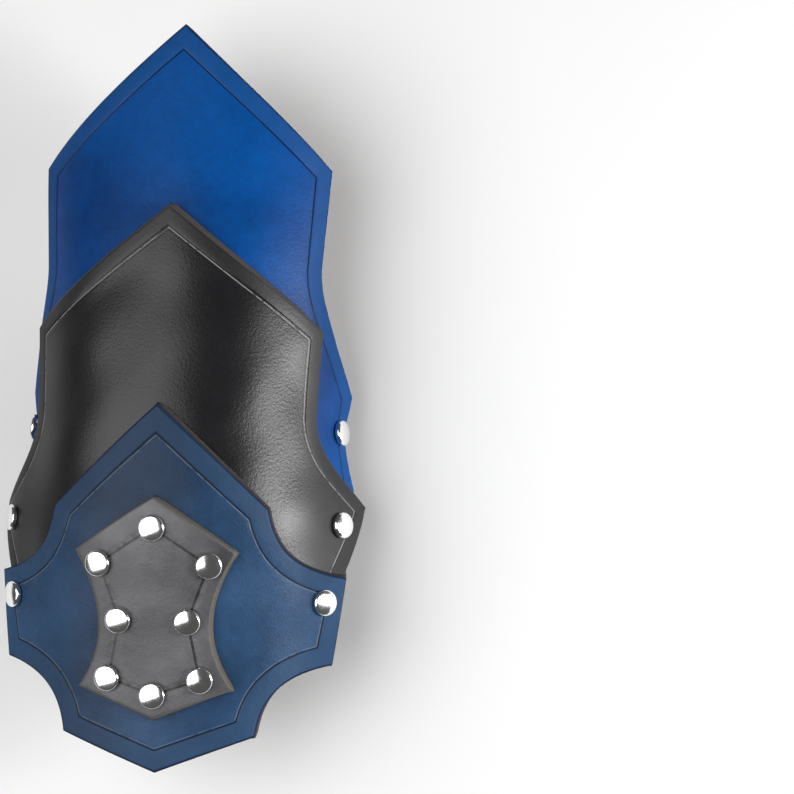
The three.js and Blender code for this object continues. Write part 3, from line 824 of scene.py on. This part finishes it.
class Surface:
    """A material, with short calls for the nodes that feed its shader."""

    def __init__(self, name):
        self.material = bpy.data.materials.new(name)
        self.material.use_nodes = True
        self.nodes = self.material.node_tree.nodes
        self.links = self.material.node_tree.links
        self.shader = self.nodes["Principled BSDF"]
        self.place = self.nodes.new("ShaderNodeTexCoord").outputs["Object"]

    def feed(self, socket, value):
        """A number, a colour or another node's output into a socket."""
        if isinstance(value, (float, int)):
            socket.default_value = value
        elif isinstance(value, tuple):
            socket.default_value = (*value, 1)
        else:
            self.links.new(value, socket)

    def noise(self, scale, detail, rough=0.55):
        node = self.nodes.new("ShaderNodeTexNoise")
        node.inputs["Scale"].default_value = scale
        node.inputs["Detail"].default_value = detail
        node.inputs["Roughness"].default_value = rough
        self.links.new(self.place, node.inputs["Vector"])
        return node.outputs["Fac"]

    def ramp(self, factor, *stops):
        """A colour for a factor, from positions and greys."""
        node = self.nodes.new("ShaderNodeValToRGB")
        for element, (position, grey) in zip(node.color_ramp.elements, stops):
            element.position = position
            element.color = (grey, grey, grey, 1)
        self.links.new(factor, node.inputs["Fac"])
        return node.outputs["Color"]

    def mix(self, factor, a, b, blend="MIX"):
        node = self.nodes.new("ShaderNodeMix")
        node.data_type = "RGBA"
        node.blend_type = blend
        for socket, value in ((MIX_FACTOR, factor), (MIX_A, a), (MIX_B, b)):
            self.feed(node.inputs[socket], value)
        return node.outputs[MIX_RESULT]

    def calc(self, operation, *values):
        node = self.nodes.new("ShaderNodeMath")
        node.operation = operation
        for socket, value in zip(node.inputs, values):
            self.feed(socket, value)
        return node.outputs[0]

    def spread(self, value, low, high):
        """A factor spread between two values."""
        node = self.nodes.new("ShaderNodeMapRange")
        node.inputs["To Min"].default_value = low
        node.inputs["To Max"].default_value = high
        self.links.new(value, node.inputs["Value"])
        return node.outputs["Result"]

    def step(self, value, start, end, ends_at):
        """A smooth change between two values, up to one or down to nothing."""
        node = self.nodes.new("ShaderNodeMapRange")
        node.interpolation_type = "SMOOTHSTEP"
        node.inputs["From Min"].default_value = start
        node.inputs["From Max"].default_value = end
        node.inputs["To Min"].default_value = 1 - ends_at
        node.inputs["To Max"].default_value = ends_at
        self.links.new(value, node.inputs["Value"])
        return node.outputs["Result"]

    def band(self, value, low, high, soft):
        """One between two values, falling off softly to nothing."""
        rise = self.step(value, low - soft, low, 1)
        fall = self.step(value, high, high + soft, 0)
        return self.calc("MULTIPLY", rise, fall)

    def mark(self, name):
        """One of the distances stored on the mesh."""
        node = self.nodes.new("ShaderNodeAttribute")
        node.attribute_name = name
        return node.outputs["Fac"]

    def bump(self, height, strength, distance, normal=None):
        node = self.nodes.new("ShaderNodeBump")
        node.inputs["Strength"].default_value = strength
        node.inputs["Distance"].default_value = distance
        self.links.new(height, node.inputs["Height"])
        if normal:
            self.links.new(normal, node.inputs["Normal"])
        return node.outputs["Normal"]


def chrome_material():
    """Polished plate, faintly rippled and unevenly bright."""
    plate = Surface("polished_plate")
    plate.shader.inputs["Metallic"].default_value = 1.0
    plate.shader.inputs["Base Color"].default_value = (0.93, 0.92, 0.91, 1)
    ripple = plate.noise(420, 4, rough=0.5)
    plate.feed(plate.shader.inputs["Roughness"], plate.spread(ripple, 0.08, 0.20))
    plate.feed(plate.shader.inputs["Normal"], plate.bump(ripple, strength=0.04, distance=0.0002))
    return plate.material


def leather_material(name, dark, light, border, line, edge, flesh, roughness, gloss,
                     grain=1.0, blotch=14, painted_ridge_highlight=None, line_half=0.18):
    """Dyed leather: blotched dye, a rubbed border, grain, a tooled line with a painted highlight on the ridge
    beside it where given, and raw or dyed cut edges.
    """
    hide = Surface(name)
    past_line = hide.mark("line")
    off_line = hide.calc("ABSOLUTE", past_line)
    inner = hide.mark("inner_face")
    border_zone = hide.band(past_line, low=-50.0, high=-0.9, soft=0.6)
    ragged = hide.calc("MULTIPLY_ADD", hide.noise(120, 2), 0.35, -0.17)
    rim = hide.band(hide.calc("ADD", hide.mark("inset"), ragged), low=-1.0, high=0.55, soft=0.35)

    # Dye, with the tooled line, a painted highlight on the ridge beside it, the cut edge and the raw inner
    # face
    cloud = hide.ramp(hide.noise(blotch, 5), (0.36, 0), (0.64, 1))
    color = hide.mix(cloud, dark, light)
    speck = hide.ramp(hide.noise(260, 6, rough=0.7), (0.3, 0.82), (0.7, 1.12))
    color = hide.mix(0.8, color, speck, "MULTIPLY")
    color = hide.mix(hide.calc("MULTIPLY", border_zone, 0.45), color, border)
    groove = hide.band(off_line, low=-1.0, high=line_half, soft=0.22)
    color = hide.mix(hide.calc("MULTIPLY", groove, 0.9), color, line)
    # A painted highlight along the raised ridge just past the tooled line, broken into dashes by noise
    if painted_ridge_highlight:
        highlight_breakup = hide.calc("GREATER_THAN", hide.noise(330, 3), 0.43)
        lit_side = hide.band(past_line, low=0.45, high=0.7, soft=0.16)
        shine = hide.calc("MULTIPLY", lit_side, hide.calc("MULTIPLY_ADD", highlight_breakup, 0.55, 0.2))
        color = hide.mix(shine, color, painted_ridge_highlight)
    color = hide.mix(rim, color, edge)
    pale_flesh = tuple(min(1, v * 1.35) for v in flesh)
    color = hide.mix(hide.calc("MULTIPLY", inner, 0.96), color, hide.mix(cloud, flesh, pale_flesh))
    hide.feed(hide.shader.inputs["Base Color"], color)

    # Duller at the cut edge, inside, along the border, and down the sides
    rough = hide.spread(hide.noise(60, 4), roughness - 0.07, roughness + 0.08)
    rough = hide.calc("MULTIPLY_ADD", rim, 0.3, rough)
    rough = hide.calc("MULTIPLY_ADD", inner, 0.4, rough)
    rough = hide.calc("MULTIPLY_ADD", border_zone, 0.12, rough)
    parts = hide.nodes.new("ShaderNodeSeparateXYZ")
    hide.feed(parts.inputs["Vector"], hide.place)
    off_middle = hide.calc("ABSOLUTE", parts.outputs["X"])
    unpolished = hide.band(off_middle, low=0.060, high=1.0, soft=0.014)
    hide.feed(hide.shader.inputs["Roughness"], hide.calc("MULTIPLY_ADD", unpolished, 0.25, rough))
    hide.shader.inputs["Specular IOR Level"].default_value = gloss

    # Pebbled grain over fine creases
    pebble = hide.nodes.new("ShaderNodeTexVoronoi")
    pebble.feature = "SMOOTH_F1"
    pebble.inputs["Scale"].default_value = 900
    hide.feed(pebble.inputs["Vector"], hide.place)
    fine = hide.calc("MULTIPLY_ADD", pebble.outputs["Distance"], 0.6, hide.noise(1400, 3))
    normal = hide.bump(fine, strength=0.45 * grain, distance=0.00022)
    creases = hide.noise(95, 5, rough=0.62)
    normal = hide.bump(creases, strength=0.08 * grain, distance=0.0007, normal=normal)
    hide.feed(hide.shader.inputs["Normal"], normal)
    return hide.material


BLUE = leather_material(
    "blue_leather", dark=(0.000, 0.028, 0.135), light=(0.001, 0.066, 0.275), border=(0.009, 0.066, 0.205),
    line=(0.003, 0.008, 0.022), edge=(0.002, 0.016, 0.07), flesh=(0.10, 0.065, 0.04),
    roughness=0.36, gloss=0.15, grain=0.5, blotch=13)
# The black hide has a grey painted highlight along the ridge beside its tooled line
BLACK = leather_material(
    "black_leather", dark=(0.0055, 0.0055, 0.0065), light=(0.009, 0.009, 0.0105),
    border=(0.014, 0.014, 0.015), line=(0.003, 0.003, 0.003), edge=(0.050, 0.043, 0.038),
    flesh=(0.075, 0.055, 0.042), roughness=0.30, gloss=0.42, grain=0.55, blotch=22,
    painted_ridge_highlight=(0.30, 0.29, 0.28))
# The navy hide has a pale painted highlight along the ridge beside its tooled line
NAVY = leather_material(
    "navy_leather", dark=(0.006, 0.026, 0.066), light=(0.025, 0.072, 0.162), border=(0.020, 0.052, 0.110),
    line=(0.004, 0.007, 0.016), edge=(0.007, 0.018, 0.044), flesh=(0.085, 0.06, 0.045),
    roughness=0.42, gloss=0.22, grain=1.0, blotch=17, painted_ridge_highlight=(0.10, 0.14, 0.19))
PATCH = leather_material(
    "patch_leather", dark=(0.045, 0.045, 0.049), light=(0.115, 0.115, 0.123), border=(0.052, 0.052, 0.053),
    line=(0.008, 0.008, 0.008), edge=(0.090, 0.084, 0.070), flesh=(0.10, 0.08, 0.06),
    roughness=0.36, gloss=0.45, grain=0.8, blotch=26, line_half=0.34)
STRAPS = leather_material(
    "strap_leather", dark=(0.009, 0.009, 0.010), light=(0.017, 0.016, 0.017), border=(0.013, 0.013, 0.013),
    line=(0.003, 0.003, 0.003), edge=(0.040, 0.031, 0.025), flesh=(0.07, 0.05, 0.037),
    roughness=0.40, gloss=0.40, grain=0.9, blotch=30)
CHROME = chrome_material()


def dress(obj, material, node):
    """An object's material, and its place over a node of the frame."""
    obj.data.materials.clear()
    obj.data.materials.append(material)
    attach(obj, "root")
    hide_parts(node)


def capped(node, foot, around, y, face):
    """A stud or rivet with its cap on the outer face of a layer."""
    place = on_form(around, y, face)[0]
    piece = lathe(node + "_dome", cap_profile(foot), place, out_of_form(around, y, face))
    dress(piece, CHROME, node)


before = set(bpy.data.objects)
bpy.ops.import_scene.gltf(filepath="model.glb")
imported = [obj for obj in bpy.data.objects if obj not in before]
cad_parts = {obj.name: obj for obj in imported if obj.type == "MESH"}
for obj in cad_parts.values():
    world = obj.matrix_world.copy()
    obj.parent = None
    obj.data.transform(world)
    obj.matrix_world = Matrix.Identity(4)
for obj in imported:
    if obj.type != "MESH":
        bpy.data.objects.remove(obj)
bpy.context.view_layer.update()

# The plates and the patch
upper = plate_skin("upper_plate", UPPER_FACE, lift=0, grid=2.6, seed=11, slant=0.4, groove=7.5)
middle = plate_skin("middle_plate", MIDDLE_FACE, MIDDLE_LIFT, grid=2.4, seed=12, slant=1.4, groove=6.3)
lower = plate_skin("lower_plate", LOWER_FACE, LOWER_LIFT, grid=2.2, seed=13, slant=1.6, groove=7.6)
stitch_way = [STUDS[i] for i in STITCH_ORDER]
patch = plate_skin("stud_patch", PATCH_FACE, lift=0, grid=1.6, seed=14, slant=1.1, tooled=stitch_way)
dress(upper, BLUE, "upper_plate")
dress(middle, BLACK, "middle_plate")
dress(lower, NAVY, "lower_plate")
dress(patch, PATCH, "stud_patch")

# Domed studs, whose shanks end inside the plate, and rivets, which are clenched over what they hold
stud_end = LOWER_FACE - PLATE + SEAT_GAP - PATCH_FACE
for i, (around, y) in enumerate(STUDS):
    capped(f"patch_stud_{i + 1}", [(AXIS, stud_end), (SHANK, stud_end)], around, y, PATCH_FACE)
for name, (around, y, face) in SIDE_RIVETS.items():
    held = MIDDLE_FACE - PLATE if name == "lower" else STRAP_INNER
    foot = [(radius, held - SEAT_GAP - face + height) for radius, height in CLENCH]
    for side_name, side in (("left", -1), ("right", 1)):
        capped(f"{name}_rivet_{side_name}", foot, side * around, y, face)

# The straps that close the back, each with its buckle
for name, landing in STRAPS_AT.items():
    buckled_strap(name, *landing)

# Floor
FLOOR_HALF = 4.0
FLOOR_WHITE = (0.90, 0.90, 0.90, 1)
FLOOR_ROUGHNESS = 0.9
corners = [(-FLOOR_HALF, -FLOOR_HALF, 0), (FLOOR_HALF, -FLOOR_HALF, 0),
           (FLOOR_HALF, FLOOR_HALF, 0), (-FLOOR_HALF, FLOOR_HALF, 0)]
mesh = bpy.data.meshes.new("floor")
mesh.from_pydata(corners, [], [(0, 1, 2, 3)])
floor = bpy.data.objects.new("floor", mesh)
bpy.context.scene.collection.objects.link(floor)
paper = bpy.data.materials.new("white_floor")
paper.use_nodes = True
paper_shader = paper.node_tree.nodes["Principled BSDF"]
paper_shader.inputs["Base Color"].default_value = FLOOR_WHITE
paper_shader.inputs["Roughness"].default_value = FLOOR_ROUGHNESS
floor.data.materials.append(paper)

# Soft studio light
WORLD_STRENGTH = 0.08
world = bpy.data.worlds.new("studio")
bpy.context.scene.world = world
world.use_nodes = True
world.node_tree.nodes["Background"].inputs["Color"].default_value = (1, 1, 1, 1)
world.node_tree.nodes["Background"].inputs["Strength"].default_value = WORLD_STRENGTH


def softbox(name, place, target, size, power):
    """A rectangular lamp that looks at a target."""
    light = bpy.data.lights.new(name, "AREA")
    light.shape = "RECTANGLE"
    light.size, light.size_y = size
    light.energy = power
    obj = bpy.data.objects.new(name, light)
    obj.location = place
    obj.rotation_euler = (Vector(target) - Vector(place)).to_track_quat("-Z", "Y").to_euler()
    bpy.context.scene.collection.objects.link(obj)


MIDDLE_OF_PIECE = (0, -0.03, 0.05)
softbox("box_left", (-0.60, -0.16, 1.16), MIDDLE_OF_PIECE, size=(1.10, 1.55), power=16.5)
softbox("box_right", (1.08, -0.06, 0.36), MIDDLE_OF_PIECE, size=(0.30, 0.90), power=16.0)

# Camera, at the photograph's place over the piece: its place in millimetres, the way it looks,
# and the way that is up in the picture
CAMERA_PLACE = (263.34, -128.92, 1229.55)
CAMERA_LOOK = (-0.14828, 0.10852, -0.98297)
CAMERA_UP = (-0.01861, 0.99348, 0.11249)
SENSOR = 36
LENS = 144.3
CLIP_END = 20

camera_data = bpy.data.cameras.new("camera")
camera = bpy.data.objects.new("camera", camera_data)
bpy.context.scene.collection.objects.link(camera)
look = Vector(CAMERA_LOOK).normalized()
right = look.cross(Vector(CAMERA_UP)).normalized()
up = right.cross(look).normalized()
turn = Matrix((right, up, -look)).transposed().to_4x4()
camera.matrix_world = Matrix.Translation(Vector(CAMERA_PLACE) * MM) @ turn
camera_data.sensor_width = SENSOR
camera_data.lens = LENS
camera_data.clip_end = CLIP_END
bpy.context.scene.camera = camera

bpy.context.scene.view_settings.view_transform = "Standard"
